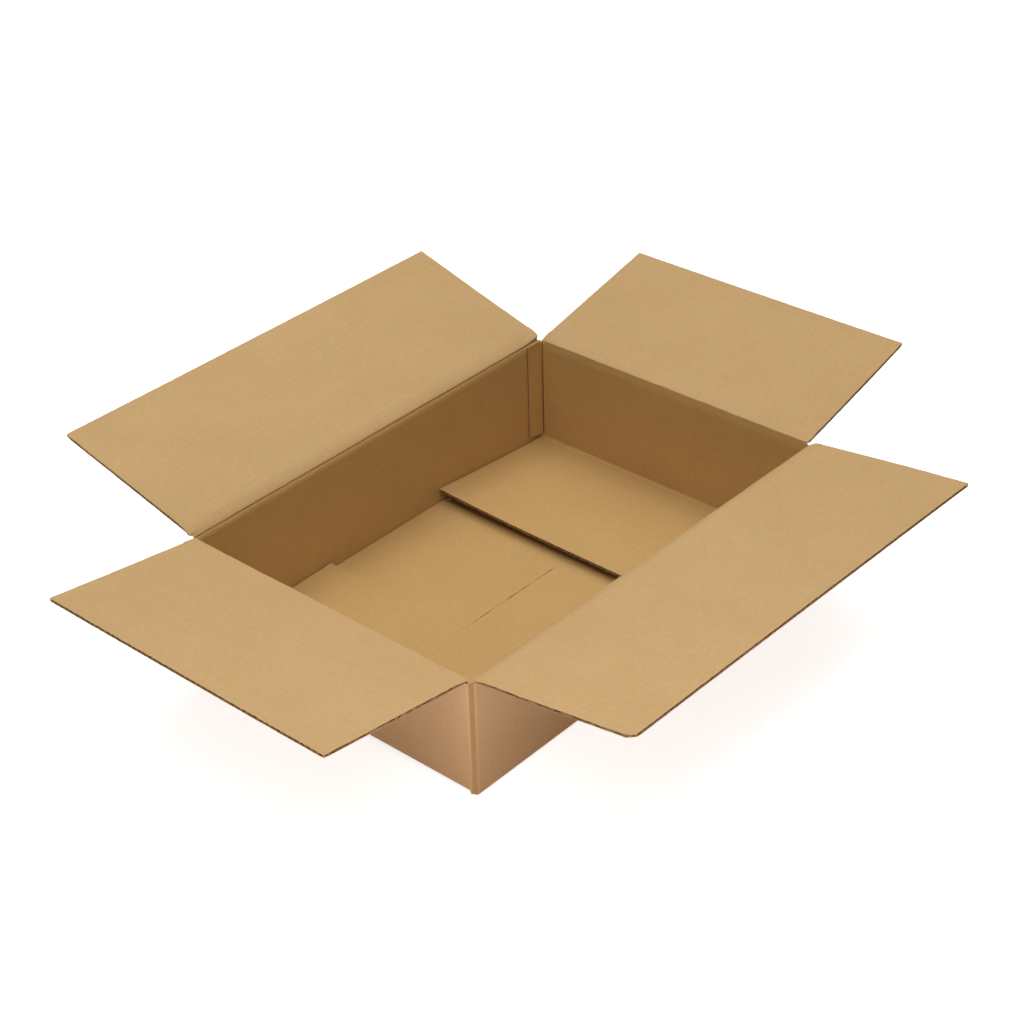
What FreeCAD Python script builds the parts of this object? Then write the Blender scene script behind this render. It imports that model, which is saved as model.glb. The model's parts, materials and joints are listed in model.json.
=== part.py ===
import FreeCAD, Part

import math
import os
from FreeCAD import Placement, Rotation, Vector

# An open shipping carton of single-wall corrugated board, folded and glued from one blank.
# Its four top flaps stand open, a little above level, and its base is folded shut and taped.
# The origin is on the standing surface, under the middle of the base. X runs along the long
# walls, Y along the short walls and Z up. Lengths are in millimetres, angles in degrees.

# The board and its flutes. They run up the walls and out along the flaps, and they are cut
# open at the flaps' far edges, so that is where they are hollowed out.
board = 4.0
liner = 0.35
fluting = 0.30
flute_pitch = 6.9
flute_depth = 30.0
inner_fold = 1.5

# The box
inside_length = 500.0
inside_width = 350.0
short_crease_height = 126.0
flap_over_flap = 0.3
slot_depth = 2.0
corner_foot = 1.5
seam_gap = 1.0

# The four top flaps: how far they reach and how far above level they stand
long_flap_setback = 0.5
short_flap_setback = 7.5
hinge_gap = 0.15
back_flap_angle = 14.3
front_flap_angle = 7.3
left_flap_angle = 7.7
right_flap_angle = 13.3

# The base flaps. The short ones lie loose over the taped long ones, tilted up a little.
long_base_setback = 9.0
base_flap_reach = 173.0
base_flap_gap = 0.3
left_base_angle = 0.7
right_base_angle = 2.2

# The glued joint at the back right corner
tab_width = 22.0
tab_taper = 5.0
tab_foot_clearance = 5.5
tab_head_clearance = 1.5
lap_step = 1.0

# The packing tape along the underside
tape_width = 48.0
tape_thickness = 0.1
tape_turn_up = 50.0
tape_side_clearance = 0.1

# Sizes that follow from the ones above
half_length = inside_length / 2 + board
half_width = inside_width / 2 + board
fold_radius = board + inner_fold
long_run = 2 * (half_length - fold_radius)
short_run = 2 * (half_width - fold_radius)
long_flap_width = 2 * (half_length - long_flap_setback)
long_base_width = 2 * (half_length - long_base_setback)
long_flap_reach = half_width - seam_gap / 2
short_flap_reach = long_flap_reach - short_flap_setback
long_crease_height = short_crease_height + board + flap_over_flap
slot_floor = short_crease_height - slot_depth
base_flap_floor = board + base_flap_gap

# Turns about Z that bring the local outward direction, +Y, to each wall
BACK, LEFT, FRONT, RIGHT = 0.0, 90.0, 180.0, -90.0


def turned(shape, heading):
    """The shape with its local +Y turned outwards through one wall."""
    copy = shape.copy()
    copy.Placement = Placement(Vector(), Rotation(Vector(0, 0, 1), heading)) * copy.Placement
    return copy


def hinged(shape, outward, height, angle):
    """A flap drawn flat along +Y, put at its crease and raised by an angle above level."""
    copy = shape.copy()
    copy.Placement = Placement(Vector(0, outward, height), Rotation(Vector(1, 0, 0), angle))
    return copy


def outline_face(edges):
    return Part.Face(Part.Wire(edges))


def polygon_wire(points):
    return Part.makePolygon(points + points[:1])


def arc(start, middle, end):
    return Part.Arc(start, middle, end).toShape()


def line(start, end):
    return Part.makeLine(start, end)


def around(centre, radius, angle):
    """A point on a circle in the YZ plane, its angle counted from +Y towards +Z."""
    turn = math.radians(angle)
    return centre + Vector(0, radius * math.cos(turn), radius * math.sin(turn))


def flute_cells(width, at):
    """The triangular channels between the liners and the fluting, as wires across the board."""
    low, high = liner, board - liner
    slope = math.atan2(high - low, flute_pitch / 2)
    side = fluting / 2 / math.sin(slope)
    tip = fluting / 2 / math.cos(slope)
    count = int((width - 2 * fluting) // flute_pitch)
    first = -count * flute_pitch / 2
    cells = []
    for i in range(2 * count - 1):
        left = first + i * flute_pitch / 2
        base, apex = (low, high - tip) if i % 2 == 0 else (high, low + tip)
        cells.append(polygon_wire([
            Vector(left + side, at, base),
            Vector(left + flute_pitch - side, at, base),
            Vector(left + flute_pitch / 2, at, apex)]))
    return cells


def fluted_edge(width, reach):
    """The far edge of a flap lying on z = 0 along +Y, with its flutes cut open."""
    start = reach - flute_depth
    rim = polygon_wire([
        Vector(-width / 2, start, 0),
        Vector(width / 2, start, 0),
        Vector(width / 2, start, board),
        Vector(-width / 2, start, board)])
    section = Part.makeFace([rim] + flute_cells(width, start), "Part::FaceMakerCheese")
    return section.extrude(Vector(0, flute_depth, 0))


def mitred_panel(width, reach):
    """A flap's panel, mitred at its hinge so that it closes inwards against its wall."""
    profile = [
        Vector(-width / 2, hinge_gap, 0),
        Vector(-width / 2, reach - flute_depth, 0),
        Vector(-width / 2, reach - flute_depth, board),
        Vector(-width / 2, hinge_gap + board, board)]
    return Part.Face(polygon_wire(profile)).extrude(Vector(width, 0, 0))


def top_flap(width, reach, outward, height, angle, heading):
    flat = mitred_panel(width, reach).fuse(fluted_edge(width, reach)).removeSplitter()
    return turned(hinged(flat, outward, height, angle), heading)


def wall_panel(outward, crease, foot, width, heading):
    """The straight part of a wall, mitred on the inside of its top crease."""
    top = crease - hinge_gap
    profile = [
        Vector(-width / 2, outward, foot),
        Vector(-width / 2, outward, top),
        Vector(-width / 2, outward - board, top - board),
        Vector(-width / 2, outward - board, foot)]
    return turned(Part.Face(polygon_wire(profile)).extrude(Vector(width, 0, 0)), heading)


def base_fold(outward, floor, angle, plate, width, heading):
    """The fold at the foot of a wall and the plain stretch of the base flap behind it."""
    centre = Vector(-width / 2, outward - fold_radius, floor + fold_radius)
    last = -90.0 - angle
    inwards = Vector(0, -math.cos(math.radians(angle)), math.sin(math.radians(angle))) * plate
    outer = [around(centre, fold_radius, turn) for turn in (0.0, last / 2, last)]
    inner = [around(centre, inner_fold, turn) for turn in (0.0, last / 2, last)]
    face = outline_face([
        arc(*outer), line(outer[2], outer[2] + inwards),
        line(outer[2] + inwards, inner[2] + inwards), line(inner[2] + inwards, inner[2]),
        arc(*reversed(inner)), line(inner[0], outer[0])])
    return turned(face.extrude(Vector(width, 0, 0)), heading)


def long_wall(heading):
    """A long wall and its base flap, which ends at the seam on the centre line."""
    plate = half_width - fold_radius - seam_gap / 2
    return [
        wall_panel(half_width, long_crease_height, fold_radius, long_run, heading),
        base_fold(half_width, 0.0, 0.0, plate, long_base_width, heading)]


def short_wall(angle, heading):
    """A short wall and its base flap, which lies over the long ones at a small angle."""
    reach = base_flap_reach - fold_radius
    centre = Vector(0, half_length - fold_radius, base_flap_floor + fold_radius)
    edge = fluted_edge(short_run, reach)
    edge.Placement = Placement(
        around(centre, fold_radius, -90.0 - angle),
        Rotation(Vector(0, 0, 1), 180.0) * Rotation(Vector(1, 0, 0), angle))
    return [
        wall_panel(half_length, short_crease_height, centre.z, short_run, heading),
        base_fold(half_length, base_flap_floor, angle, reach - flute_depth, short_run, heading),
        turned(edge, heading)]


def corner_post(x_side, y_side):
    """The rounded fold between two walls, from near the base up to the top flaps' slot."""
    x, y, z = half_length, half_width, corner_foot
    bend = Vector(x - fold_radius, y - fold_radius, z)
    diagonal = math.sqrt(0.5)
    outer = [
        Vector(x - fold_radius, y, z),
        bend + Vector(fold_radius, fold_radius, 0) * diagonal,
        Vector(x, y - fold_radius, z)]
    inner = [
        Vector(x - board, y - fold_radius, z),
        bend + Vector(inner_fold, inner_fold, 0) * diagonal,
        Vector(x - fold_radius, y - board, z)]
    leg = [Vector(long_base_width / 2, y - board, z), Vector(long_base_width / 2, y, z)]
    face = outline_face([
        arc(*outer), line(outer[2], inner[0]), arc(*inner),
        line(inner[2], leg[0]), line(leg[0], leg[1]), line(leg[1], outer[0])])
    post = face.extrude(Vector(0, 0, slot_floor - z))
    if x_side < 0:
        post = post.mirror(Vector(), Vector(1, 0, 0))
    if y_side < 0:
        post = post.mirror(Vector(), Vector(0, 1, 0))
    return post


def box_between(low, high):
    return Part.makeBox(high.x - low.x, high.y - low.y, high.z - low.z, low)


def glued_corner():
    """The lap at the back right: the right wall turns in behind the back wall as a glued tab."""
    lap_y = half_width - board
    back_end = box_between(
        Vector(long_base_width / 2, lap_y, corner_foot),
        Vector(half_length - lap_step, half_width, slot_floor))
    right_end = box_between(
        Vector(half_length - board, short_run / 2, corner_foot),
        Vector(half_length, lap_y, slot_floor))
    foot = base_flap_floor + board + tab_foot_clearance
    head = short_crease_height - board - tab_head_clearance
    root_x = half_length - board
    free_x = root_x - tab_width
    tab_y = lap_y - board
    tab = Part.Face(polygon_wire([
        Vector(root_x, tab_y, foot),
        Vector(free_x, tab_y, foot + tab_taper),
        Vector(free_x, tab_y, head - tab_taper),
        Vector(root_x, tab_y, head)])).extrude(Vector(0, board, 0))
    return [back_end, right_end, tab]


def tape_path(outside):
    """The tape's line in the XZ plane at y = 0, along its outer or its inner face."""
    depth = 0.0 if outside else tape_thickness
    radius = long_base_setback + tape_thickness - depth
    turn_x = half_length - long_base_setback
    turn_z = long_base_setback + tape_thickness
    flat = Vector(turn_x, 0, depth)
    middle = Vector(turn_x, 0, turn_z) + Vector(radius, 0, -radius) * math.sqrt(0.5)
    upright = Vector(turn_x + radius, 0, turn_z)
    end = Vector(turn_x + radius, 0, turn_z + tape_turn_up)
    return flat, middle, upright, end


def mirrored(point):
    return Vector(-point.x, point.y, point.z)


def bottom_tape():
    """Packing tape under the seam, turned up a little way at both ends."""
    outer = tape_path(True)
    inner = tape_path(False)
    edges = []
    for flat, middle, upright, end in (outer, inner):
        edges += [line(mirrored(flat), flat), arc(flat, middle, upright), line(upright, end)]
        edges += [arc(mirrored(flat), mirrored(middle), mirrored(upright)),
                  line(mirrored(upright), mirrored(end))]
    edges += [line(outer[3], inner[3]), line(mirrored(outer[3]), mirrored(inner[3]))]
    section = outline_face(Part.sortEdges(edges)[0])
    section.translate(Vector(0, -tape_width / 2, 0))
    return section.extrude(Vector(0, tape_width, 0))


def tape_bed():
    """What the tape presses into the underside, so that the base stands flat."""
    side = tape_width / 2 + tape_side_clearance
    return box_between(
        Vector(-half_length, -side, -board),
        Vector(half_length, side, tape_thickness))


def carton_body():
    """Four walls, four base flaps and the glued tab: one blank, folded and joined."""
    pieces = long_wall(BACK) + long_wall(FRONT)
    pieces += short_wall(left_base_angle, LEFT)
    pieces += short_wall(right_base_angle, RIGHT)
    pieces += [corner_post(-1, 1), corner_post(-1, -1), corner_post(1, -1)]
    pieces += glued_corner()
    body = pieces[0].multiFuse(pieces[1:])
    return body.cut(tape_bed()).removeSplitter()


def build():
    long_hinge = (long_flap_width, long_flap_reach, half_width, long_crease_height)
    short_hinge = (short_run, short_flap_reach, half_length, short_crease_height)
    return {
        "carton_body": carton_body(),
        "bottom_tape": bottom_tape(),
        "long_flap_back": top_flap(*long_hinge, back_flap_angle, BACK),
        "long_flap_front": top_flap(*long_hinge, front_flap_angle, FRONT),
        "short_flap_left": top_flap(*short_hinge, left_flap_angle, LEFT),
        "short_flap_right": top_flap(*short_hinge, right_flap_angle, RIGHT),
    }


os.makedirs("parts", exist_ok=True)
for name, shape in build().items():
    solids = shape.Solids
    box = shape.BoundBox
    shape.exportStep("parts/%s.step" % name)
    print("%-18s solids %d valid %s volume %.0f mm3, x %.1f..%.1f y %.1f..%.1f z %.2f..%.1f" % (
        name, len(solids), shape.isValid(), shape.Volume,
        box.XMin, box.XMax, box.YMin, box.YMax, box.ZMin, box.ZMax))
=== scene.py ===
import json
import math
import random

import bpy
from mathutils import Matrix, Vector


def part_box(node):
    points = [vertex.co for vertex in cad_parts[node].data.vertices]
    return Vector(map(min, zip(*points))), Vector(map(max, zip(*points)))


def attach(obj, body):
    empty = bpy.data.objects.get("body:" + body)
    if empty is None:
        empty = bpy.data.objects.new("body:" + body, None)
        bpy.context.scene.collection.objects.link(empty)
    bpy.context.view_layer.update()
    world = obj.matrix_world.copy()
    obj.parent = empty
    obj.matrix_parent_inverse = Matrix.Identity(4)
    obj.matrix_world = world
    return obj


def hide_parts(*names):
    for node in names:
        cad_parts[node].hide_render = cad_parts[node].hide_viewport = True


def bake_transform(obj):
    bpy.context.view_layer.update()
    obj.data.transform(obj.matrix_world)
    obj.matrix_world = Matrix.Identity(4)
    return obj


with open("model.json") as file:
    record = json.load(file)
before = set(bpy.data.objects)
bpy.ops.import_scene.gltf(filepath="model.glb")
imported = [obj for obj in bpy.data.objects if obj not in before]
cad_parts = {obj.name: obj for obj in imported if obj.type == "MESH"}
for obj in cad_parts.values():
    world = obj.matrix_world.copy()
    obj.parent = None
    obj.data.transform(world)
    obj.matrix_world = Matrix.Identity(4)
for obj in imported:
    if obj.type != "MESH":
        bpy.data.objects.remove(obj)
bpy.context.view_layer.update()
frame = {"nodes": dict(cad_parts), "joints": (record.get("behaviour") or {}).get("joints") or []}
print("frame loaded:", ", ".join(sorted(frame["nodes"])))

mm = 0.001
dice = random.Random(41)

carton = {
    "halfLength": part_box("carton_body")[1].x,
    "halfWidth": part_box("carton_body")[1].y,
    "board": 4.0 * mm,       # single-wall board, liner to liner
    "liner": 0.35 * mm,
    "fluting": 0.30 * mm,
    "pitch": 6.9 * mm,       # one wave of the fluting
    "fold": 5.5 * mm,        # outside radius of a folded edge
    "gap": 0.3 * mm,         # between two layers of board
    "hingeGap": 0.15 * mm,   # between a panel and the fold it starts from
}
touch = 0.1 * mm             # a point this near a place counts as being there
lap = 1.5 * mm               # how far a rim runs on under the flap's liner and down the wall
smoothUnder = math.radians(40)
hinges = {joint["child"]: joint for joint in frame["joints"]}
longCrease = hinges["back_flap"]["pos_m"][2]
shortCrease = hinges["left_flap"]["pos_m"][2]
heading = {"back": 0.0, "left": 90.0, "front": 180.0, "right": -90.0}


# Small helpers for working as in the viewport

def deselect():
    if bpy.context.object and bpy.context.object.mode != "OBJECT":
        bpy.ops.object.mode_set(mode="OBJECT")
    bpy.ops.object.select_all(action="DESELECT")


def activate(obj):
    deselect()
    obj.select_set(True)
    bpy.context.view_layer.objects.active = obj


def middle(mesh, part):
    if hasattr(part, "vertices"):
        corners = [mesh.vertices[i].co for i in part.vertices]
        return sum(corners, Vector()) / len(corners)
    return part.co


def selectWhere(obj, kind, test):
    # leaves the object in edit mode, with the parts selected whose middle passes the test
    activate(obj)
    bpy.ops.object.mode_set(mode="EDIT")
    bpy.ops.mesh.select_mode(type=kind)
    bpy.ops.mesh.select_all(action="DESELECT")
    bpy.ops.object.mode_set(mode="OBJECT")
    parts = {"VERT": obj.data.vertices, "EDGE": obj.data.edges, "FACE": obj.data.polygons}[kind]
    for part in parts:
        part.select = bool(test(middle(obj.data, part)))
    bpy.ops.object.mode_set(mode="EDIT")


def endEdit():
    bpy.ops.object.mode_set(mode="OBJECT")


def extrudeEdges(x=0.0, y=0.0, z=0.0):
    bpy.ops.mesh.extrude_edges_move(TRANSFORM_OT_translate={"value": (x, y, z)})


def spinEdges(steps, angle, centre, axis):
    # without a window the operator turns the other way round, so the angle is negated
    bpy.ops.mesh.spin(steps=steps, angle=-angle, center=centre, axis=axis)


def applyModifier(obj, kind, settings):
    activate(obj)
    modifier = obj.modifiers.new(kind.title(), kind)
    for key, value in settings.items():
        setattr(modifier, key, value)
    bpy.ops.object.modifier_apply(modifier=modifier.name)


def joinPieces(name, pieces):
    activate(pieces[0])
    for piece in pieces[1:]:
        piece.select_set(True)
    bpy.ops.object.join()
    made = bpy.context.object
    made.name = made.data.name = name
    return made


def keepFlatPlace(obj, rule=lambda c: c):
    # remembers where each point lay on the flat board: x across the flutes, y along them
    place = obj.data.attributes.new("flatPlace", "FLOAT_VECTOR", "POINT")
    place.data.foreach_set("vector", [value for v in obj.data.vertices for value in rule(v.co)])


def giveMask(obj, name, rule):
    mask = obj.data.attributes.new(name, "FLOAT", "POINT")
    mask.data.foreach_set("value", [rule(v.co) for v in obj.data.vertices])


def finishWith(obj, material):
    obj.data.materials.clear()
    obj.data.materials.append(material)


# Shader maths

class Signal:
    def __init__(self, tree, socket):
        self.tree = tree
        self.socket = socket

    def node(self, kind, settings=None, inputs=None, output=0):
        made = self.tree.nodes.new(kind)
        for key, value in (settings or {}).items():
            setattr(made, key, value)
        for key, value in (inputs or {}).items():
            if isinstance(value, Signal):
                self.tree.links.new(value.socket, made.inputs[key])
            else:
                made.inputs[key].default_value = value
        return Signal(self.tree, made.outputs[output])

    def maths(self, operation, *values):
        return self.node("ShaderNodeMath", {"operation": operation}, dict(enumerate(values)))

    def __add__(self, other):
        return self.maths("ADD", self, other)

    def __radd__(self, other):
        return self.maths("ADD", other, self)

    def __sub__(self, other):
        return self.maths("SUBTRACT", self, other)

    def __rsub__(self, other):
        return self.maths("SUBTRACT", other, self)

    def __mul__(self, other):
        return self.maths("MULTIPLY", self, other)

    def __rmul__(self, other):
        return self.maths("MULTIPLY", other, self)

    def between(self, low, high):
        return self.node("ShaderNodeMapRange", {"interpolation_type": "SMOOTHSTEP"},
                         {"Value": self, "From Min": low, "From Max": high})

    def noise(self, vector, scale, detail, roughness=0.5):
        return self.node("ShaderNodeTexNoise", {},
                         {"Vector": vector, "Scale": scale, "Detail": detail, "Roughness": roughness})

    def stretch(self, vector, x, y, z):
        return self.node("ShaderNodeMapping", {}, {"Vector": vector, "Scale": (x, y, z)})

    def blend(self, first, second, kind="MIX"):
        # mixes two colours, with this signal as the factor
        return self.node("ShaderNodeMix", {"data_type": "RGBA", "blend_type": kind},
                         {0: self, 6: first, 7: second}, 2)

    def bump(self, strength, height):
        # this signal as a relief of that height in metres
        return self.node("ShaderNodeBump", {}, {"Strength": strength, "Distance": height, "Height": self})


def newMaterial(name, roughness, specular):
    material = bpy.data.materials.new(name)
    material.use_nodes = True
    tree = material.node_tree
    shader = tree.nodes["Principled BSDF"]
    shader.inputs["Roughness"].default_value = roughness
    shader.inputs["Specular IOR Level"].default_value = specular
    return material, tree, shader, Signal(tree, None)


def feed(tree, shader, socket, signal):
    tree.links.new(signal.socket, shader.inputs[socket])


def fromSrgb(red, green, blue):
    def linear(value):
        value = value / 255
        return value / 12.92 if value <= 0.04045 else ((value + 0.055) / 1.055) ** 2.4
    return (linear(red), linear(green), linear(blue), 1.0)


def scaled(colour, *factors):
    return tuple(c * f for c, f in zip(colour, factors)) + (1.0,)


def makeLiner(name, colour):
    look = {
        "roughness": (0.80, 0.14),    # at least, and more where the paper is mottled
        "specular": 0.22,
        "cloud": (13.0, 2.0),         # soft patches: waves per metre, detail and roughness
        "mottle": (230.0, 4.0, 0.62),
        "fibre": (1.0, 3.0, 0.6), "fibreScale": (160.0, 900.0, 900.0),
        "shares": (0.5, 0.8, 0.6),    # how much clouds, mottle and fibres shade the paper
        "washboard": 0.03,            # how much the flutes show through
        "dark": (0.93, 0.92, 0.90), "light": (1.07, 1.08, 1.10),
        "warm": (1.018, 0.99, 0.975, 1.0), "warmPatch": (46.0, 2.0), "warmFrom": (0.35, 0.65),
        "speck": (520.0, 1.0), "speckFrom": (0.735, 0.80), "speckTone": (0.42, 0.36, 0.30),
        "fleck": (1.0, 1.0), "fleckScale": (350.0, 1500.0, 1500.0), "fleckFrom": (0.74, 0.80),
        "fleckTone": (1.35, 1.40, 1.50),
        "faint": 0.35,                # how strongly specks and flecks show
        "relief": (0.35, 0.5, 0.6),   # how much flutes, mottle and fibres stand out
        "bump": 0.35, "bumpHeight": 0.22 * mm,
        "worn": (0.62, 0.53, 0.40),   # painted shade: darker in folds, grooves, corners and under flaps
        # painted highlight: lighter along cut edges and fold crests
        "rubbed": (1.13, 1.14, 1.18),
    }
    material, tree, shader, start = newMaterial(name, look["roughness"][0], look["specular"])
    place = start.node("ShaderNodeTexCoord", output=3)
    flat = start.node("ShaderNodeAttribute", {"attribute_name": "flatPlace"}, output=1)
    # this attribute paints shade into the colour: at creases, grooves, corner bands, the wall foot and
    # under flaps
    crease = start.node("ShaderNodeAttribute", {"attribute_name": "crease"}, output=2)
    # this attribute paints a highlight into the colour along cut edges and crests
    rub = start.node("ShaderNodeAttribute", {"attribute_name": "rub"}, output=2)
    cloud = start.noise(place, *look["cloud"])
    mottle = start.noise(place, *look["mottle"])
    fibre = start.noise(start.stretch(flat, *look["fibreScale"]), *look["fibre"])
    across = start.node("ShaderNodeSeparateXYZ", {}, {0: flat})
    ripple = start.maths("SINE", across * (2 * math.pi / carton["pitch"]))
    tone = 0.5 + ripple * look["washboard"]
    for signal, share in zip((cloud, mottle, fibre), look["shares"]):
        tone = tone + (signal - 0.5) * share   # a noise lies about 0.5
    shade = tone.between(0.0, 1.0).blend(scaled(colour, *look["dark"]), scaled(colour, *look["light"]))
    warmth = start.noise(place, *look["warmPatch"]).between(*look["warmFrom"])
    shade = warmth.blend(shade, look["warm"], "MULTIPLY")
    speck = start.noise(place, *look["speck"]).between(*look["speckFrom"])
    shade = (speck * look["faint"]).blend(shade, scaled(colour, *look["speckTone"]))
    fleck = start.noise(start.stretch(flat, *look["fleckScale"]), *look["fleck"])
    fleck = fleck.between(*look["fleckFrom"])
    shade = (fleck * look["faint"]).blend(shade, scaled(colour, *look["fleckTone"]))
    shade = rub.blend(shade, scaled(colour, *look["rubbed"]))
    shade = crease.blend(shade, scaled(colour, *look["worn"]))
    feed(tree, shader, "Base Color", shade)
    feed(tree, shader, "Roughness", look["roughness"][0] + mottle * look["roughness"][1])
    ofRipple, ofMottle, ofFibre = look["relief"]
    height = ripple * ofRipple + mottle * ofMottle + fibre * ofFibre
    feed(tree, shader, "Normal", height.bump(look["bump"], look["bumpHeight"]))
    return material


def makeFluting(name, colour):
    # the rougher, greyer paper between the liners, seen where the board is cut
    look = {"roughness": (0.88, 0.1), "specular": 0.1, "grain": (900.0, 4.0, 0.7), "patch": (90.0, 2.0),
            "grainShare": 0.7, "spread": (0.3, 0.7), "dark": (0.66, 0.62, 0.58),
            "light": (1.12, 1.12, 1.12), "bump": 0.6, "bumpHeight": 0.2 * mm}
    material, tree, shader, start = newMaterial(name, look["roughness"][0], look["specular"])
    place = start.node("ShaderNodeTexCoord", output=3)
    grain = start.noise(place, *look["grain"])
    patch = start.noise(place, *look["patch"])
    tone = (grain * look["grainShare"] + patch * (1 - look["grainShare"])).between(*look["spread"])
    shade = tone.blend(scaled(colour, *look["dark"]), scaled(colour, *look["light"]))
    feed(tree, shader, "Base Color", shade)
    feed(tree, shader, "Roughness", look["roughness"][0] + grain * look["roughness"][1])
    feed(tree, shader, "Normal", grain.bump(look["bump"], look["bumpHeight"]))
    return material


def makeTape():
    look = {"colour": fromSrgb(166, 118, 66), "roughness": (0.24, 0.2), "specular": 0.5,
            "streak": (1.0, 2.0), "streakScale": (6.0, 900.0, 6.0), "streakShare": 0.6,
            "bubble": (160.0, 3.0), "bubbleFrom": (0.55, 0.7), "spread": (0.2, 0.8),
            "dark": (0.9, 0.88, 0.85), "light": (1.1, 1.12, 1.15), "bump": 0.3, "bumpHeight": 0.2 * mm}
    material, tree, shader, start = newMaterial("tapeFilm", look["roughness"][0], look["specular"])
    place = start.node("ShaderNodeTexCoord", output=3)
    streak = start.noise(start.stretch(place, *look["streakScale"]), *look["streak"])
    bubble = start.noise(place, *look["bubble"]).between(*look["bubbleFrom"])
    tone = (streak * look["streakShare"] + bubble * (1 - look["streakShare"])).between(*look["spread"])
    shade = tone.blend(scaled(look["colour"], *look["dark"]), scaled(look["colour"], *look["light"]))
    feed(tree, shader, "Base Color", shade)
    feed(tree, shader, "Roughness", look["roughness"][0] + bubble * look["roughness"][1])
    feed(tree, shader, "Normal", (streak + bubble).bump(look["bump"], look["bumpHeight"]))
    return material


kraft = {
    "inside": fromSrgb(200, 165, 115),
    "deep": fromSrgb(195, 158, 101),       # the same liner, painted darker and warmer for the shade inside the box
    "outside": fromSrgb(198, 159, 119),
    "fluting": fromSrgb(168, 134, 92),
}
insideLiner = makeLiner("insideLiner", kraft["inside"])
# a copy of the liner with painted shade, used on every face inside the box
deepLiner = makeLiner("deepLiner", kraft["deep"])
outsideLiner = makeLiner("outsideLiner", kraft["outside"])
flutingPaper = makeFluting("flutingPaper", kraft["fluting"])
tapeFilm = makeTape()
print("materials ready")


# Board

def sheetAt(name, width, start, reach, height, columns, rows):
    deselect()
    bpy.ops.mesh.primitive_grid_add(x_subdivisions=columns, y_subdivisions=rows, size=1.0)
    obj = bpy.context.object
    obj.name = name
    obj.location = (0.0, (start + reach) / 2, height)
    obj.scale = (width, reach - start, 1.0)
    bpy.ops.object.transform_apply(location=True, rotation=True, scale=True)
    return obj


def flutedSheet(name, width, start, reach, rows):
    wave = {"steps": 10, "rise": (carton["board"] - 2 * carton["liner"] - carton["fluting"]) / 2,
            "merge": 0.01 * mm}
    waves = math.ceil(width / carton["pitch"]) + 1
    obj = sheetAt(name, carton["pitch"], start, reach, carton["board"] / 2, wave["steps"], rows)
    for vertex in obj.data.vertices:
        vertex.co.z += wave["rise"] * math.sin(2 * math.pi * vertex.co.x / carton["pitch"])
        vertex.co.x -= (waves - 1) / 2 * carton["pitch"]
    applyModifier(obj, "ARRAY", {"count": waves, "use_merge_vertices": True,
                                 "merge_threshold": wave["merge"]})
    for side in (-1, 1):   # trim to the width
        selectWhere(obj, "FACE", lambda c: True)
        bpy.ops.mesh.bisect(plane_co=(side * width / 2, 0, 0), plane_no=(side, 0, 0), clear_outer=True)
        endEdit()
    applyModifier(obj, "SOLIDIFY", {"thickness": carton["fluting"], "offset": 0.0})
    finishWith(obj, flutingPaper)
    return obj


def tornEdge(name, width, start, reach, side):
    # where a cut runs along the flutes, one of them is left torn open
    tear = {"width": 2.6 * mm, "pace": 2.6 * mm, "ragged": 0.6 * mm,
            "low": 0.02, "high": 0.38, "root": 0.75,    # heights, as shares of the room between the liners
            "bridge": 0.25, "bridgeAt": 0.95}           # now and then it still holds to the upper liner
    obj = sheetAt(name, tear["width"], start, reach, 0.0, 2, round((reach - start) / tear["pace"]))
    floor = carton["liner"]
    room = carton["board"] - 2 * carton["liner"]
    for vertex in obj.data.vertices:
        out = 0.5 + vertex.co.x / tear["width"]
        lift = dice.uniform(tear["low"], tear["high"])
        if dice.random() < tear["bridge"]:
            lift = tear["bridgeAt"]
        vertex.co.z = floor + room * (lift * out + tear["root"] * (1 - out))
        back = tear["width"] * (1 - out) + out * dice.uniform(0.0, tear["ragged"])
        vertex.co.x = side * (width / 2 - back)
    applyModifier(obj, "SOLIDIFY", {"thickness": carton["fluting"], "offset": 0.0})
    finishWith(obj, flutingPaper)
    return obj


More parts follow.
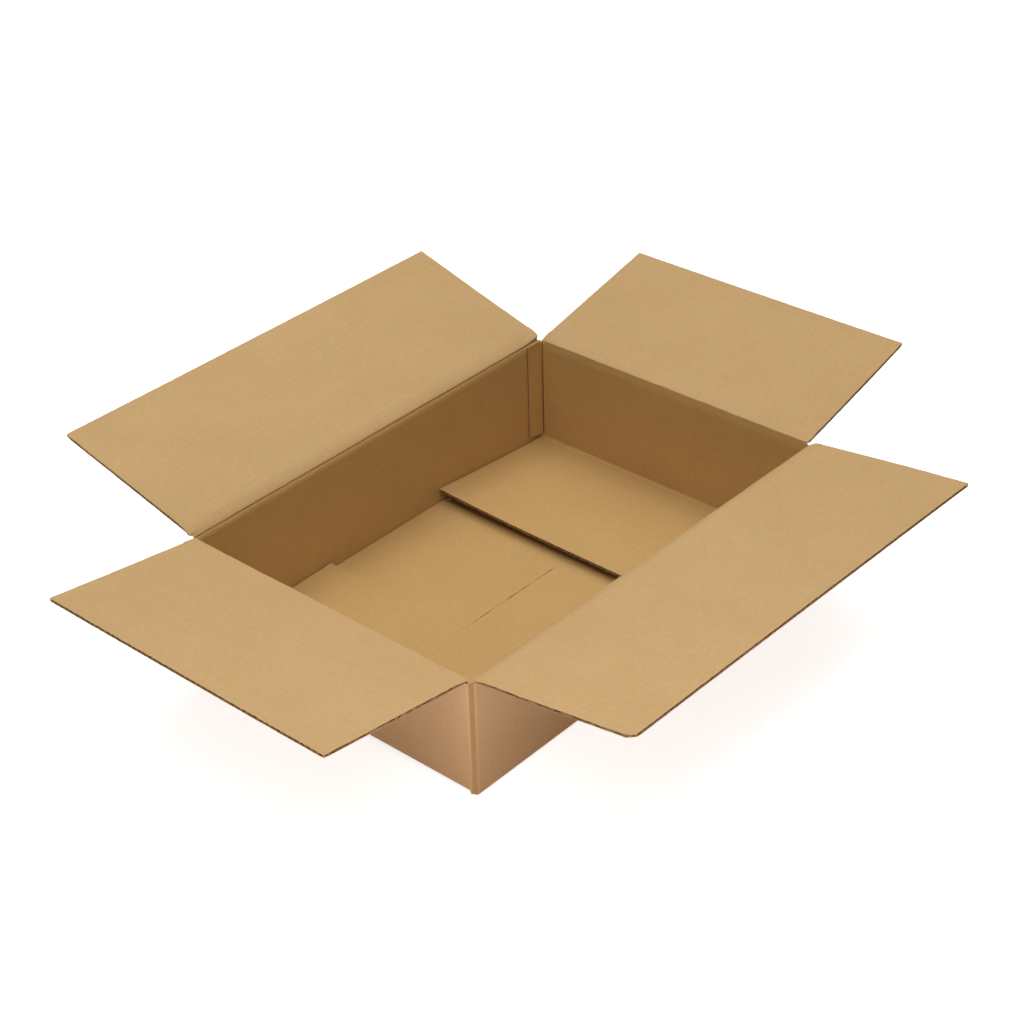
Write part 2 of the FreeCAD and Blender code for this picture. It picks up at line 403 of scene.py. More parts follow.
def corrugatedPanel(name, width, start, reach, top=None, notch=(5 * mm, 5 * mm)):
    # a flat panel along +Y, outer liner down, its hinge on z = 0
    make = {"spacing": 4 * mm, "rows": 24, "coreRows": 6, "torn": 2.4 * mm,
            "notchTo": 2.4 * mm, "rub": 1.3 * mm, "rubbed": (0.2, 1.0)}
    columns = round(width / make["spacing"])
    lower = sheetAt(name + "Under", width, carton["hingeGap"], reach, 0.0, columns, make["rows"])
    selectWhere(lower, "FACE", lambda c: True)
    bpy.ops.mesh.bisect(plane_co=(0, make["notchTo"], 0), plane_no=(0, 1, 0))
    endEdit()
    for vertex in lower.data.vertices:   # the slot cuts back the corners at the hinge
        limit = width / 2 - notch[vertex.co.x > 0]
        if vertex.co.y < make["notchTo"] - touch and abs(vertex.co.x) > limit:
            vertex.co.x = math.copysign(limit, vertex.co.x)
    upper = sheetAt(name + "Over", width, start, reach, carton["board"], columns, make["rows"])
    highlightLine = width / 2 - make["rub"]
    highlightEnd = reach - make["rub"]
    for x, y, away in ((highlightLine, 0, (1, 0, 0)), (-highlightLine, 0, (1, 0, 0)), (0, highlightEnd, (0, 1, 0))):
        selectWhere(upper, "FACE", lambda c: True)
        bpy.ops.mesh.bisect(plane_co=(x, y, 0), plane_no=away)
        endEdit()
    applyModifier(lower, "SOLIDIFY", {"thickness": carton["liner"], "offset": 1.0})
    finishWith(lower, outsideLiner)
    applyModifier(upper, "SOLIDIFY", {"thickness": carton["liner"], "offset": -1.0})
    finishWith(upper, top or insideLiner)
    core = flutedSheet(name + "Core", width - 2 * make["torn"], start, reach, make["coreRows"])
    edges = [tornEdge(name + "Torn", width, start, reach, side) for side in (-1, 1)]
    panel = joinPieces(name, [lower, upper, core] + edges)
    keepFlatPlace(panel)
    atEdge = lambda c: abs(c.x) > width / 2 - touch or c.y > reach - touch
    isHighlighted = lambda c: atEdge(c) and c.z > carton["board"] / 2
    # painted highlight on the upper liner along the cut edges
    giveMask(panel, "rub", lambda c: dice.uniform(*make["rubbed"]) if isHighlighted(c) else 0.0)
    return panel


def roughenCutEdges(obj, width, reach):
    # a die leaves the cut edge crushed thinner and uneven, with the upper liner torn back a little
    rough = {"band": 7 * mm, "under": 0.95 * mm, "over": 0.3 * mm, "jitter": 0.12 * mm, "liner": 0.12,
             "lower": (0.0, 0.15 * mm), "core": (0.0, 0.6 * mm), "upper": (0.35 * mm, 0.75 * mm)}
    for vertex in obj.data.vertices:
        place = vertex.co
        height = min(1.0, max(0.0, place.z / carton["board"]))
        layer = "lower" if height < rough["liner"] else "upper" if height > 1 - rough["liner"] else "core"
        fromEdge = min(width / 2 - abs(place.x), reach - place.y)
        if place.y > reach - touch:
            place.y -= dice.uniform(*rough[layer])
        if abs(place.x) > width / 2 - touch and layer != "core":
            place.x -= math.copysign(dice.uniform(*rough[layer]), place.x)
        share = max(0.0, 1 - fromEdge / rough["band"])
        place.z += share * (rough["under"] * (1 - height) - rough["over"] * height)
        if fromEdge < touch and layer != "core":
            place.z += dice.uniform(-rough["jitter"], rough["jitter"])


def bluntCorners(obj, width, reach, sizes):
    # the corners at the free edge are knocked back a little
    for vertex in obj.data.vertices:
        size = sizes[1] if vertex.co.x > 0 else sizes[0]
        over = size - (width / 2 - abs(vertex.co.x)) - (reach - vertex.co.y)
        if over > 0:
            vertex.co.x -= math.copysign(over / 2, vertex.co.x)
            vertex.co.y -= over / 2


def warpPanel(obj, width, reach, bow, twist, curl):
    for vertex in obj.data.vertices:
        along = max(0.0, vertex.co.y / reach)
        across = 2 * vertex.co.x / width
        vertex.co.z += bow * (1 - across * across) * math.sin(math.pi * along) + twist * across * along ** 2
        vertex.co.z += curl * along ** 3 * (abs(across) ** 3)


def putAtHinge(obj, outward, height, rise, side):
    turn = Matrix.Rotation(math.radians(heading[side]), 4, "Z")
    lift = Matrix.Translation((0, outward, height)) @ Matrix.Rotation(math.radians(rise), 4, "X")
    obj.data.transform(turn @ lift)
    obj.data.update()


# Top flaps

# Each pair of values is for the flap's two ends: how far its corner is blunted, how much narrower
# it is at the hinge, how far inside the hinge it widens, how far the slot cuts in, and how much
# higher the crest is.
topFlaps = {
    "back": {"node": "long_flap_back", "body": "back_flap", "long": True, "rise": 14.3,
             "bow": -0.8 * mm, "twist": 1.2 * mm, "curl": 0.6 * mm, "blunt": (2.0 * mm, 1.2 * mm),
             "trim": (0.0, 2.6 * mm), "lead": (3.0 * mm, 0.0), "notch": (0.0, 5 * mm),
             "crestBy": (-2.2 * mm, 0.0)},
    "front": {"node": "long_flap_front", "body": "front_flap", "long": True, "rise": 7.3,
              "bow": 0.8 * mm, "twist": 2.8 * mm, "curl": -0.4 * mm, "blunt": (1.2 * mm, 6.5 * mm),
              "trim": (4.0 * mm, 0.0), "lead": (0.0, 0.0), "notch": (5 * mm, 5 * mm),
              "crestBy": (-1.3 * mm, -0.5 * mm)},
    "left": {"node": "short_flap_left", "body": "left_flap", "long": False, "rise": 7.7,
             "bow": 0.7 * mm, "twist": 0.4 * mm, "curl": 0.4 * mm, "blunt": (1.2 * mm, 1.6 * mm),
             "trim": (0.0, 0.0), "lead": (0.0, 0.0), "notch": (5 * mm, 5 * mm),
             "crestBy": (0.8 * mm, 1.4 * mm)},
    "right": {"node": "short_flap_right", "body": "right_flap", "long": False, "rise": 13.3,
              "bow": -0.6 * mm, "twist": 1.9 * mm, "curl": 0.5 * mm, "blunt": (1.2 * mm, 1.2 * mm),
              "trim": (0.0, 0.0), "lead": (0.0, 0.0), "notch": (5 * mm, 5 * mm),
              "crestBy": (0.0, 2.2 * mm)},
}
flapSizes = {
    True: {"width": 2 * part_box("long_flap_back")[1].x, "reach": 178.5 * mm},
    False: {"width": 2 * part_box("short_flap_left")[1].y, "reach": 171.0 * mm},
}
# The board is crushed along each crease, so the inner liner dips there. Across and up from the hinge:
# the crest is the fold's edge, the foot is where the dip starts on the wall, the ramp ends on the flap.
creases = {
    True: {"crest": (-2.3 * mm, -0.4 * mm), "foot": 9.5 * mm, "ramp": 14.0 * mm},
    False: {"crest": (-2.7 * mm, 1.7 * mm), "foot": 7.5 * mm, "ramp": 12.0 * mm},
}


def makeFlap(side):
    flap = topFlaps[side]
    size = flapSizes[flap["long"]]
    start = creases[flap["long"]]["ramp"] - lap
    panel = corrugatedPanel(side + "Flap", size["width"], start, size["reach"], notch=flap["notch"])
    roughenCutEdges(panel, size["width"], size["reach"])
    bluntCorners(panel, size["width"], size["reach"], flap["blunt"])
    for vertex in panel.data.vertices:
        place = vertex.co
        trim = flap["trim"][place.x > 0] * (1 - max(0.0, place.y) / size["reach"])
        place.x *= 1 - trim / (size["width"] / 2)
    giveMask(panel, "crease", lambda c: 0.0)
    warpPanel(panel, size["width"], size["reach"], flap["bow"], flap["twist"], flap["curl"])
    outward, height = hingeLine(flap["long"])
    putAtHinge(panel, outward, height, flap["rise"], side)
    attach(panel, flap["body"])
    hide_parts(flap["node"])
    return panel


def hingeLine(isLong):
    if isLong:
        return carton["halfWidth"], longCrease
    return carton["halfLength"], shortCrease


def makeRim(side):
    # the inner liner where it comes up the wall, turns over the crushed crease and runs out along the flap
    flap = topFlaps[side]
    size = flapSizes[flap["long"]]
    crease = creases[flap["long"]]
    rim = {
        "thick": 1.1 * mm, "inset": 0.1 * mm, "proud": 0.08 * mm, "widenIn": 3.5 * mm,
        "strip": 1 * mm, "column": 4 * mm,    # the strip that it is extruded from
        "lean": 0.35 * mm,      # the liner leans out where the wall nears the crest
        "leanFrom": 0.6,        # as a share of the foot's depth
        "dentFrom": 1.8 * mm, "dentTo": 0.8 * mm, "dentFoot": 2.2 * mm,    # below the crest
        "dent": {True: 0.2 * mm, False: -0.2 * mm},
        "lip": ((0.6 * mm, 0.16), (1.5 * mm, 0.40)),    # out from the crest or hinge, share of the climb
        "climb": ((0.36, 0.72), (0.66, 0.93), (0.86, 1.0), (1.0, 1.0)),    # share of the ramp, of the climb
        # painted shade in the long crease's groove and in a band just under the crest
        "grooveWide": 0.4 * mm, "grooveDeep": (0.5 * mm, 2.0 * mm), "grooved": 0.4,
        "bruiseWide": 1 * mm, "bruiseDeep": 3 * mm, "bruised": 0.12, "rubbed": 0.6,
        "insideFrom": 0.3 * mm,    # below the crest it takes the liner painted darker for the shade inside the box
    }
    dent = rim["dent"][flap["long"]]
    board, rise = carton["board"], math.radians(flap["rise"])
    wallLength = 2 * (carton["halfLength" if flap["long"] else "halfWidth"] - carton["fold"])
    wallRun = wallLength - 2 * rim["inset"]
    y, z = crease["crest"]
    outAlong = lambda c: c.y * math.cos(rise) + c.z * math.sin(rise)
    risesBy = lambda c: c.z * math.cos(rise) - c.y * math.sin(rise)
    crest = Vector((0, y, z))
    first, height = outAlong(crest), risesBy(crest)
    face = -board - rim["proud"]
    profile = [Vector((0, face, -crease["foot"])),
               Vector((0, face + rim["lean"], -rim["leanFrom"] * crease["foot"])),
               Vector((0, y - rim["lean"], z - rim["dentFoot"])),
               Vector((0, y + dent, z - rim["dentFrom"])),
               Vector((0, y + dent, z - rim["dentTo"])), crest]
    climb = board + rim["proud"] - height
    (lipOut, lipShare), hingePoint = rim["lip"]
    flapSide = [(first + lipOut, lipShare), hingePoint]
    flapSide += [(part * crease["ramp"], share) for part, share in rim["climb"]]
    for along, share in flapSide:
        over = height + share * climb
        profile.append(Vector((0, along * math.cos(rise) - over * math.sin(rise),
                               along * math.sin(rise) + over * math.cos(rise))))
    obj = sheetAt(side + "Rim", wallRun, 0.0, rim["strip"], 0.0, round(wallRun / rim["column"]), 1)
    selectWhere(obj, "VERT", lambda c: c.y > rim["strip"] / 2)
    bpy.ops.mesh.delete(type="VERT")
    selectWhere(obj, "EDGE", lambda c: True)
    last = Vector((0, face, -crease["foot"] - lap))
    bpy.ops.transform.translate(value=last)
    for point in profile:
        extrudeEdges(y=point.y - last.y, z=point.z - last.z)
        last = point
    bpy.ops.mesh.select_all(action="SELECT")
    bpy.ops.mesh.normals_make_consistent(inside=False)
    endEdit()
    outermost = max(obj.data.polygons, key=lambda face: middle(obj.data, face).y)
    if outermost.normal.z < 0:
        selectWhere(obj, "FACE", lambda c: True)
        bpy.ops.mesh.flip_normals()
        endEdit()
    keepFlatPlace(obj)
    below = lambda c: z - c.z   # how far a point lies below the crest
    shallow, deep = rim["grooveDeep"]
    groove = lambda c: flap["long"] and abs(c.y - y) < rim["grooveWide"] and shallow < below(c) < deep
    underCrest = lambda c: c.y < y + rim["bruiseWide"] and touch < below(c) < rim["bruiseDeep"]
    atCrest = lambda c: abs(c.y - y) < touch and abs(below(c)) < touch
    # painted shade in the groove and just under the crest
    giveMask(obj, "crease", lambda c: rim["grooved"] if groove(c) else rim["bruised"] if underCrest(c) else 0.0)
    # painted highlight along the crest
    giveMask(obj, "rub", lambda c: rim["rubbed"] if atCrest(c) else 0.0)
    creaseWobble(obj, side, wallRun, crest)
    for vertex in obj.data.vertices:   # a long flap is wider than its wall's top
        place = vertex.co
        end = place.x > 0
        share = min(1.0, max(0.0, (outAlong(place) + flap["lead"][end]) / rim["widenIn"]))
        place.x *= 1 + share * ((size["width"] - 2 * flap["trim"][end]) / wallRun - 1)
    applyModifier(obj, "SOLIDIFY", {"thickness": rim["thick"], "offset": -1.0})
    bpy.ops.object.shade_smooth_by_angle(angle=smoothUnder)
    finishWith(obj, insideLiner)
    obj.data.materials.append(deepLiner)
    # faces inside the box take the copy of the liner with painted shade
    for face in obj.data.polygons:
        centre = middle(obj.data, face)
        isInside = centre.y < y + rim["bruiseWide"] and below(centre) > rim["insideFrom"]
        face.material_index = 1 if isInside else 0
    outward, level = hingeLine(flap["long"])
    putAtHinge(obj, outward, level, 0.0, side)
    turn = Matrix.Rotation(math.radians(heading[side]), 3, "Z")
    wallEnd = turn @ Vector((0, outward - board, level - board))
    flapEnd = turn @ Vector((0, outward + board, level + board))
    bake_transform(obj)
    return obj


def creaseWobble(obj, side, wallRun, crest):
    # no crease is quite straight, and at the glued corner the back flap's stands open
    wobble = {"rise": 0.35 * mm, "waves": ((2.3, 0.4), (6.1, 1.9), (13.7, 3.0)), "reach": 9 * mm,
              "openFrom": 22 * mm, "open": 3.2 * mm, "steep": 1.5,
              "lipFrom": 0.3 * mm, "beadFrom": 2.0 * mm, "bead": 0.4}    # depths below the crest
    for vertex in obj.data.vertices:
        place = vertex.co
        near = max(0.0, 1 - (Vector((0, place.y, place.z)) - crest).length / wobble["reach"])
        along = place.x / wallRun
        swell = sum(math.sin(2 * math.pi * pace * along + start) for pace, start in wobble["waves"])
        swell /= len(wobble["waves"])
        low, high = topFlaps[side]["crestBy"]
        place.z += (wobble["rise"] * swell + low + (high - low) * (0.5 + along)) * near
        fromEnd = wallRun / 2 - place.x
        if side == "back" and fromEnd < wobble["openFrom"]:
            gape = (1 - fromEnd / wobble["openFrom"]) ** wobble["steep"] * wobble["open"] * near
            if place.z > crest.z - wobble["lipFrom"]:
                place.z += gape
            elif place.z > crest.z - wobble["beadFrom"]:
                place.y += wobble["bead"] * gape


for side in topFlaps:
    makeFlap(side)
    makeRim(side)
print("flaps and rims made")


# Walls, with the folds at their foot

walls = {
    "longFoot": carton["fold"],
    "shortFoot": carton["fold"] + carton["board"] + carton["gap"],
    "slotTop": 125.6 * mm,
    "deepSlot": 116.0 * mm,    # the front right slot is cut deeper
    "cornerRows": ((4.0 * mm, 0.6 * mm), (2.2 * mm, 2.2 * mm)),   # height, and how far it is tucked in
    "tuckShare": 0.7,          # of that, along each side
    "leftTilt": 0.7,           # degrees that the short base flaps spring up
    "rightTilt": 2.9,
    "foldRun": 6.0 * mm,
    "foldSteps": 6,
    "cornerSteps": 3,
    "cornerProfile": 0.4,
    "innerStep": 0.5 * mm,     # keeps the two top rows of inner points apart
    # painted shade: darker towards the outer walls' bottom
    "lowWear": 0.45,
    "middle": 60 * mm,         # a height inside the box, to tell inner faces from outer ones
}


def makeWalls():
    x, y = carton["halfLength"], carton["halfWidth"]
    fold, board = carton["fold"], carton["board"]
    deselect()
    bpy.ops.mesh.primitive_plane_add(size=1.0)
    obj = bpy.context.object
    obj.location = (0, 0, walls["shortFoot"])
    obj.scale = (2 * x, 2 * y, 1)
    bpy.ops.object.transform_apply(location=True, rotation=True, scale=True)
    selectWhere(obj, "VERT", lambda c: True)
    bpy.ops.mesh.bevel(offset=fold, segments=walls["cornerSteps"], profile=walls["cornerProfile"],
                       affect="VERTICES")
    bpy.ops.mesh.delete(type="ONLY_FACE")
    endEdit()
    base = walls["shortFoot"]
    onLong = lambda c: abs(abs(c.y) - y) < touch and abs(c.x) < x - fold
    onShort = lambda c: abs(abs(c.x) - x) < touch and abs(c.y) < y - fold
    isLevel = lambda c, z: abs(c.z - z) < touch / 2
    selectWhere(obj, "EDGE", lambda c: True)
    extrudeEdges(z=walls["slotTop"] - base)
    endEdit()
    selectWhere(obj, "EDGE", lambda c: isLevel(c, walls["slotTop"]) and onLong(c))
    extrudeEdges(z=longCrease - walls["slotTop"])
    endEdit()
    selectWhere(obj, "EDGE", lambda c: isLevel(c, walls["slotTop"]) and onShort(c))
    extrudeEdges(z=shortCrease - walls["slotTop"])
    endEdit()
    selectWhere(obj, "EDGE", lambda c: isLevel(c, base) and not onShort(c))
    extrudeEdges(z=walls["longFoot"] - base)
    endEdit()
    level = walls["longFoot"]
    for height, tuck in walls["cornerRows"]:
        selectWhere(obj, "EDGE", lambda c: isLevel(c, level) and not onLong(c))
        extrudeEdges(z=height - level)
        endEdit()
        level = height
    for side in (1, -1):
        selectWhere(obj, "EDGE", lambda c: isLevel(c, walls["longFoot"]) and onLong(c) and c.y * side > 0)
        spinEdges(walls["foldSteps"], -side * math.pi / 2, (0, side * (y - fold), fold), (1, 0, 0))
        extrudeEdges(y=-side * walls["foldRun"])
        endEdit()
        tilt = math.radians(walls["rightTilt"] if side > 0 else walls["leftTilt"])
        selectWhere(obj, "EDGE", lambda c: isLevel(c, base) and onShort(c) and c.x * side > 0)
        turn = side * (math.pi / 2 + tilt)
        spinEdges(walls["foldSteps"], turn, (side * (x - fold), 0, base), (0, 1, 0))
        extrudeEdges(x=-side * walls["foldRun"] * math.cos(tilt), z=walls["foldRun"] * math.sin(tilt))
        endEdit()
    selectWhere(obj, "FACE", lambda c: True)
    bpy.ops.mesh.remove_doubles(threshold=1e-6)
    bpy.ops.mesh.normals_make_consistent(inside=False)
    endEdit()
    applyModifier(obj, "SOLIDIFY", {"thickness": board, "offset": -1.0, "use_even_offset": True})
    return obj


def makeCarton():
    ring = makeWalls()
    ring.name = ring.data.name = "cartonWalls"
    x, y, board, fold = carton["halfLength"], carton["halfWidth"], carton["board"], carton["fold"]
    isInner = lambda c: abs(c.x) < x - board + 2 * touch and abs(c.y) < y - board + 2 * touch
    nearTop = walls["deepSlot"] - 1 * mm
    for vertex in ring.data.vertices:
        place = vertex.co
        inner = isInner(place)
        atSlot = abs(place.z - walls["slotTop"]) < touch
        if place.x > x - fold - touch and place.y < -(y - fold - touch) and atSlot:
            place.z = walls["deepSlot"]
        for isLong, across, limit in ((True, abs(place.y), y), (False, abs(place.x), x)):
            # inside, the walls stop short of the crease, where the rims take over
            if inner and place.z > nearTop and abs(across - (limit - board)) < touch / 2:
                top = (longCrease if isLong else shortCrease) - creases[isLong]["foot"]
                place.z = min(place.z, top + (0.0 if atSlot else walls["innerStep"]))
        for height, tuck in walls["cornerRows"]:   # the bottom corners are rounded
            if abs(place.z - height) < touch / 2:
                place.x -= math.copysign(tuck * walls["tuckShare"], place.x)
                place.y -= math.copysign(tuck * walls["tuckShare"], place.y)
    for vertex in ring.data.vertices:   # the glued corner: the right wall folds in behind the back wall
        place = vertex.co
        outer = place.x > x - board + 2 * touch or place.y > y - board + 2 * touch
        if outer and place.x > x - fold + touch and place.y > y - fold - touch:
            place.y -= board
    # the inside faces take the liner copy painted darker and warmer for the shade inside the box
    ring.data.materials.append(outsideLiner)
    ring.data.materials.append(deepLiner)
    for face in ring.data.polygons:
        centre = middle(ring.data, face)
        away = centre.x * face.normal.x / x + centre.y * face.normal.y / y
        away += (centre.z - walls["middle"]) * face.normal.z
        postTop = centre.z > nearTop and face.normal.z > 0.7
        face.material_index = 0 if away > 0 and not postTop else 1
    keepFlatPlace(ring, lambda c: (c.x + c.y, c.z, 0.0))
    bend = 0.3 * mm
    isArc = lambda c: abs(c.x) > x - fold + bend and abs(c.y) > y - fold + bend and not isInner(c)
    foot = lambda c: isInner(c) and board + touch / 2 < c.z < walls["longFoot"] - touch
    isLow = lambda c: not isInner(c) and c.z < walls["shortFoot"] + touch
    # painted shade on the corner fold bands and the walls' inner foot, and a lighter painted shade along
    # the outer walls' bottom
    shadeMask = lambda c: 1.0 if isArc(c) or foot(c) else walls["lowWear"] if isLow(c) else 0.0
    giveMask(ring, "crease", shadeMask)
    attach(ring, "carton")
    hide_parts("carton_body")
    return ring


def openSeam(panel, reach, out):
    # the two cut edges touch along most of the seam and part here and there
    seam = {"waves": ((21.0, 0.9), (53.0, 2.3), (97.0, 4.1)), "open": 0.9 * mm, "fray": 0.15 * mm}
    for vertex in panel.data.vertices:
        if vertex.co.y > reach - touch:
            x = -out * vertex.co.x
            swell = sum(math.sin(2 * math.pi * pace * x + start) for pace, start in seam["waves"])
            swell /= len(seam["waves"])
            vertex.co.y -= seam["open"] * max(0.0, swell) + dice.uniform(0, seam["fray"])


def makeBaseFlaps():
    base = {"seamOffset": -0.6 * mm, "seamGap": 0.05 * mm, "reach": 173 * mm, "side": 0.8 * mm,
            "end": 9 * mm, "twist": {"left": 1.47 * mm, "right": 4.2 * mm}, "blunt": (1.5 * mm, 1.5 * mm),
            "cover": 86 * mm}
    x, y, board, fold = carton["halfLength"], carton["halfWidth"], carton["board"], carton["fold"]
    run = walls["foldRun"]
    # the base flaps take on top the liner copy painted for the shade inside the box
    for side, out in (("front", -1), ("back", 1)):
        reach = y - fold - run - base["seamGap"] - out * base["seamOffset"]
        width = 2 * (x - base["end"])
        panel = corrugatedPanel(side + "BaseFlap", width, carton["hingeGap"], reach, deepLiner)
        openSeam(panel, reach, out)
        # what lies under the right flap sees little light
        giveMask(panel, "crease", lambda c: 1.0 if -out * c.x > base["cover"] else 0.0)
        panel.data.transform(Matrix.Translation((0, -(y - fold - run), 0)))
        panel.data.transform(Matrix.Rotation(math.radians(180 + heading[side]), 4, "Z"))
        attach(panel, "carton")
    for side, tilt in (("left", walls["leftTilt"]), ("right", walls["rightTilt"])):
        width, reach = 2 * (y - board - base["side"]), base["reach"] - fold - run
        panel = corrugatedPanel(side + "BaseFlap", width, carton["hingeGap"], reach, deepLiner)
        roughenCutEdges(panel, width, reach)
        bluntCorners(panel, width, reach, base["blunt"])
        # painted shade: the whole underside is darkened, so the gap under the raised edge reads dark
        giveMask(panel, "crease", lambda c: 1.0 if c.z < carton["board"] / 2 else 0.0)
        toBack = -1 if side == "left" else 1   # which way the back of the box lies on this flap
        for vertex in panel.data.vertices:   # the back corner stands up a little more
            across = toBack * 2 * vertex.co.x / width
            along = max(0.0, vertex.co.y / reach)
            vertex.co.z += base["twist"][side] * along ** 2 * max(0.0, across) ** 2
        turn = math.radians(tilt)
        centre = Vector((0, x - fold, walls["shortFoot"]))
        foot = centre + Vector((0, -fold * math.sin(turn), -fold * math.cos(turn)))
        foot += Vector((0, -run * math.cos(turn), run * math.sin(turn)))
        panel.data.transform(Matrix.Rotation(turn, 4, "X"))
        panel.data.transform(Matrix.Rotation(math.pi, 4, "Z"))
        panel.data.transform(Matrix.Translation(foot))
        panel.data.transform(Matrix.Rotation(math.radians(heading[side]), 4, "Z"))
        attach(panel, "carton")


def boardBlock(name, low, high, openSide):
    # a block of board whose flutes run up it, cut open on one side along X
    cut = {"depth": 1.2 * mm, "skin": 0.1 * mm}
    obj = blockBetween(name, low, high)
    openFace = high.x if openSide > 0 else low.x
    selectWhere(obj, "FACE", lambda c: abs(c.x - openFace) < touch)
    bpy.ops.mesh.inset(thickness=carton["liner"])
    bpy.ops.mesh.extrude_region_move(TRANSFORM_OT_translate={"value": (-openSide * cut["depth"], 0, 0)})
    endEdit()
    obj.data.materials.append(insideLiner)
    obj.data.materials.append(flutingPaper)
    for face in obj.data.polygons:
        centre = middle(obj.data, face)
        inEdge = abs(face.normal.y) > 0.5 and low.y + cut["skin"] < centre.y < high.y - cut["skin"]
        inFloor = face.normal.x * openSide > 0.5 and abs(centre.x - openFace) > touch / 2
        face.material_index = 1 if inEdge or inFloor else 0
    return obj


def blockBetween(name, low, high):
    deselect()
    bpy.ops.mesh.primitive_cube_add(size=1.0, location=(low + high) / 2)
    obj = bpy.context.object
    obj.name = obj.data.name = name
    obj.scale = high - low
    bpy.ops.object.transform_apply(location=True, rotation=True, scale=True)
    return obj


def makeTab():
    tab = {"width": 22 * mm, "taper": 3 * mm, "foot": 12.5 * mm, "head": 127.8 * mm, "groove": 2.2 * mm,
           "edge": 1.7 * mm, "root": 3.8 * mm, "thinFrom": 70 * mm, "thinAt": 122 * mm, "thin": 1.35 * mm,
           "taperTo": 2 * mm, "bead": 0.8 * mm, "beadSides": 12, "beadAside": 4.9 * mm, "shade": 0.15 * mm,
           "lapEnd": 253 * mm}
    x, y, board = carton["halfLength"], carton["halfWidth"], carton["board"]
    wall = y - board
    root, free = x - board - tab["groove"], x - board - tab["width"]
    low = Vector((free, wall - board, tab["foot"]))
    obj = boardBlock("gluedTab", low, Vector((root, wall, tab["head"])), -1)
    for height in (tab["thinFrom"], tab["thinAt"]):
        selectWhere(obj, "FACE", lambda c: True)
        bpy.ops.mesh.bisect(plane_co=(0, 0, height), plane_no=(0, 0, 1))
        endEdit()
    for vertex in obj.data.vertices:   # pressed flat by the gluing, most of all at its head
        place = vertex.co
        across = min(1.0, max(0.0, (place.x - free) / (root - free)))
        thick = tab["edge"] + across * (tab["root"] - tab["edge"])
        up = min(1.0, max(0.0, (place.z - tab["thinFrom"]) / (tab["thinAt"] - tab["thinFrom"])))
        thick += up * (tab["thin"] - thick)
        place.y = wall - (wall - place.y) / board * thick
        if across < 0.5 and place.z < tab["foot"] + tab["taperTo"]:
            place.z += tab["taper"]
    deselect()
    middleHeight = (walls["slotTop"] + tab["foot"]) / 2
    bpy.ops.mesh.primitive_cylinder_add(vertices=tab["beadSides"], radius=tab["bead"],
                                        depth=walls["slotTop"] - tab["foot"],
                                        location=(x - board, wall - tab["beadAside"], middleHeight))
    bead = bpy.context.object   # the liner bulges beside the fold
    finishWith(bead, deepLiner)
    bpy.ops.object.transform_apply(location=True, rotation=True, scale=True)
    bpy.ops.object.shade_smooth_by_angle(angle=smoothUnder)
    obj = joinPieces("gluedTab", [obj, bead])
    # the tab and the bead take the liner copy painted for the shade inside the box
    obj.data.materials[0] = deepLiner
    # a thin sheet laid in the groove beside the fold, painted dark as the groove's shade
    low = Vector((x - board - tab["shade"], wall - tab["beadAside"] + tab["bead"], tab["foot"]))
    shadeSheet = blockBetween("foldGroove", low, Vector((x - board, wall, walls["slotTop"])))
    finishWith(shadeSheet, deepLiner)
    low = Vector((x - carton["fold"], wall, walls["cornerRows"][1][0]))
    lapEnd = boardBlock("backWallEnd", low, Vector((tab["lapEnd"], y, walls["slotTop"])), 1)
    lapEnd.data.materials[0] = outsideLiner
    for piece in (obj, lapEnd, shadeSheet):
        keepFlatPlace(piece, lambda c: (c.x + c.y, c.z, 0.0))
        # the groove's sheet gets the full painted shade
        giveMask(piece, "crease", lambda c: 1.0 if piece is shadeSheet else 0.0)
        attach(piece, "carton")


makeCarton()
makeBaseFlaps()
makeTab()
print("carton body made")


# Tape

tapeNode = frame["nodes"]["bottom_tape"]
tapeNode.data.materials.clear()
tapeNode.data.materials.append(tapeFilm)


# Camera, floor and light

def placeCamera():
    view = {
        "turn": -47.946, "rise": 32.816, "roll": -1.605,
        "place": (-1.3798, -1.2474, 1.3024),
        "lens": 79.868, "sensor": 36.0, "sees": 50.0,
    }
    turn, rise, roll = (math.radians(view[key]) for key in ("turn", "rise", "roll"))
    back = Vector((math.sin(turn) * math.cos(rise), -math.cos(turn) * math.cos(rise), math.sin(rise)))
    right = Vector((math.cos(turn), math.sin(turn), 0))
    up = back.cross(right)
    right, up = (math.cos(roll) * right + math.sin(roll) * up,
                 math.cos(roll) * up - math.sin(roll) * right)
    deselect()
    bpy.ops.object.camera_add(location=view["place"])
    camera = bpy.context.object
    camera.name = "photoCamera"
    camera.rotation_mode = "QUATERNION"
    camera.rotation_quaternion = Matrix((right, up, back)).transposed().to_quaternion()
    camera.data.lens = view["lens"]
    camera.data.sensor_width = view["sensor"]
    camera.data.clip_end = view["sees"]
    bpy.context.scene.camera = camera


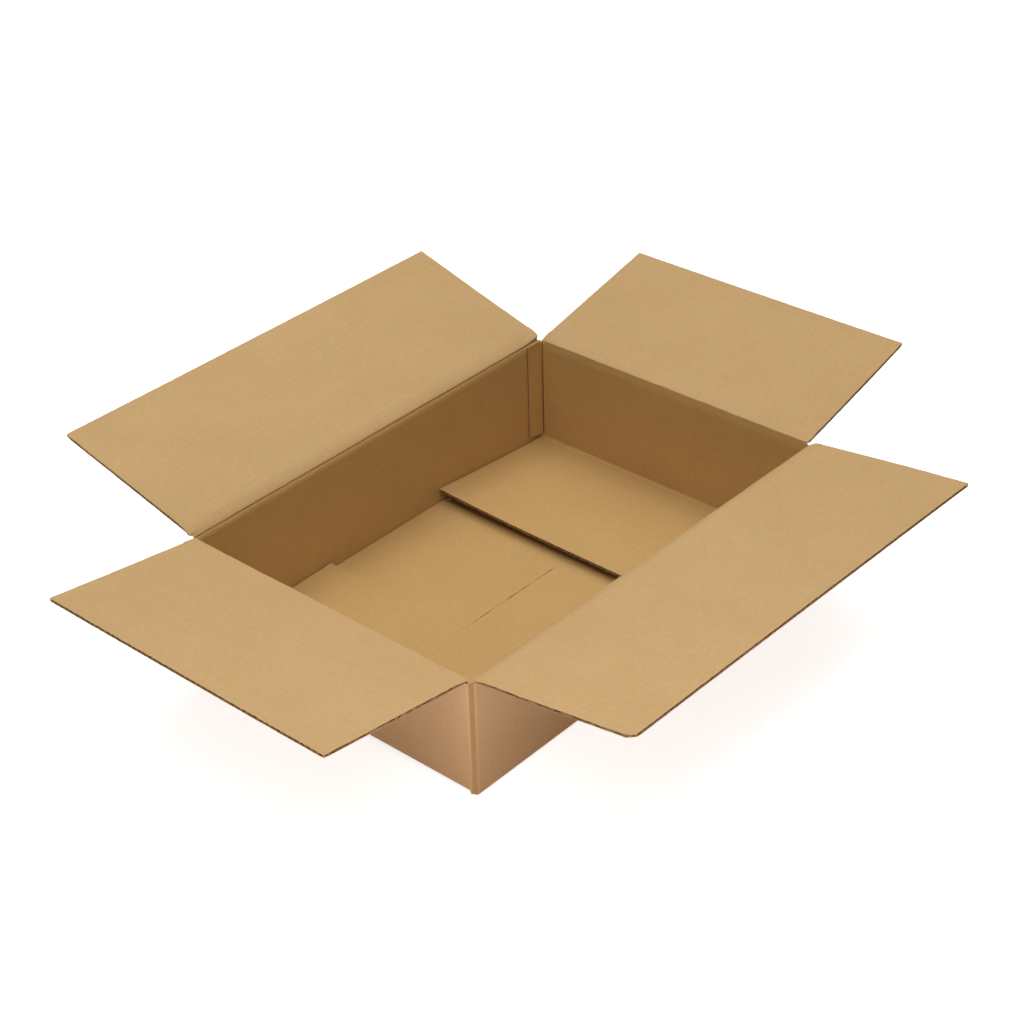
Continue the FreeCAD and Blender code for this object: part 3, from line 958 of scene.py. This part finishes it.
def makeFloor():
    look = {"radius": 12, "sides": 96, "albedo": 0.8, "roughness": 0.9, "specular": 0.1,
            "lift": 0.79, "fadeFrom": 0.5, "fadeTo": 2.4}   # fades to white with distance
    deselect()
    bpy.ops.mesh.primitive_circle_add(vertices=look["sides"], radius=look["radius"], fill_type="NGON",
                                      location=(0, 0, 0))
    floor = bpy.context.object
    floor.name = "floor"
    material, tree, shader, start = newMaterial("paleFloor", look["roughness"], look["specular"])
    shader.inputs["Base Color"].default_value = (look["albedo"],) * 3 + (1,)
    shader.inputs["Emission Strength"].default_value = 1.0
    place = start.node("ShaderNodeTexCoord", output=3)
    away = start.node("ShaderNodeVectorMath", {"operation": "LENGTH"}, {0: place}, 1)
    lift = look["lift"] + (1 - look["lift"]) * away.between(look["fadeFrom"], look["fadeTo"])
    glow = start.node("ShaderNodeLightPath", output="Is Camera Ray") * lift
    feed(tree, shader, "Emission Color", glow.blend((0, 0, 0, 1), (1, 1, 1, 1)))
    finishWith(floor, material)


studio = {
    "world": 0.01,
    "lamps": {   # place, what it is aimed at, width and height in metres, and watts
        "key": [(1.3, 1.0, 2.4), (0, 0, 0.1), (2.0, 2.0), 27.5],
        "top": [(0.0, 0.0, 2.6), (0, 0, 0.1), (2.4, 2.4), 38.0],
        "near": [(-0.65, -0.55, 1.1), (-0.3, -0.2, 0.1), (0.8, 0.8), 4.6],
        "front": [(-1.6, -0.7, 1.5), (0, 0, 0.1), (1.0, 1.0), 2.6],
        "low": [(-1.5, -1.2, 0.1), (0, 0, 0.06), (1.6, 0.16), 18.2],
        "lowBehind": [(1.5, 1.2, 0.1), (0, 0, 0.06), (1.6, 0.16), 12.0],
    },
}


def lightScene():
    world = bpy.data.worlds.new("studio")
    bpy.context.scene.world = world
    world.use_nodes = True
    start = Signal(world.node_tree, None)
    seen = start.node("ShaderNodeLightPath", output="Is Camera Ray")
    colour = seen.blend((studio["world"],) * 3 + (1,), (1, 1, 1, 1))
    background = world.node_tree.nodes["Background"]
    background.inputs["Strength"].default_value = 1.0
    feed(world.node_tree, background, "Color", colour)
    for name, (place, aim, size, watts) in studio["lamps"].items():
        deselect()
        bpy.ops.object.light_add(type="AREA", location=place)
        lamp = bpy.context.object
        lamp.name = name + "Light"
        lamp.data.shape = "RECTANGLE"
        lamp.data.size, lamp.data.size_y = size
        lamp.data.energy = watts
        lamp.visible_camera = False
        lamp.rotation_mode = "QUATERNION"
        lamp.rotation_quaternion = (Vector(aim) - Vector(place)).to_track_quat("-Z", "Y")


placeCamera()
makeFloor()
lightScene()
scene = bpy.context.scene
scene.view_settings.view_transform = "Standard"
print("camera and light set")
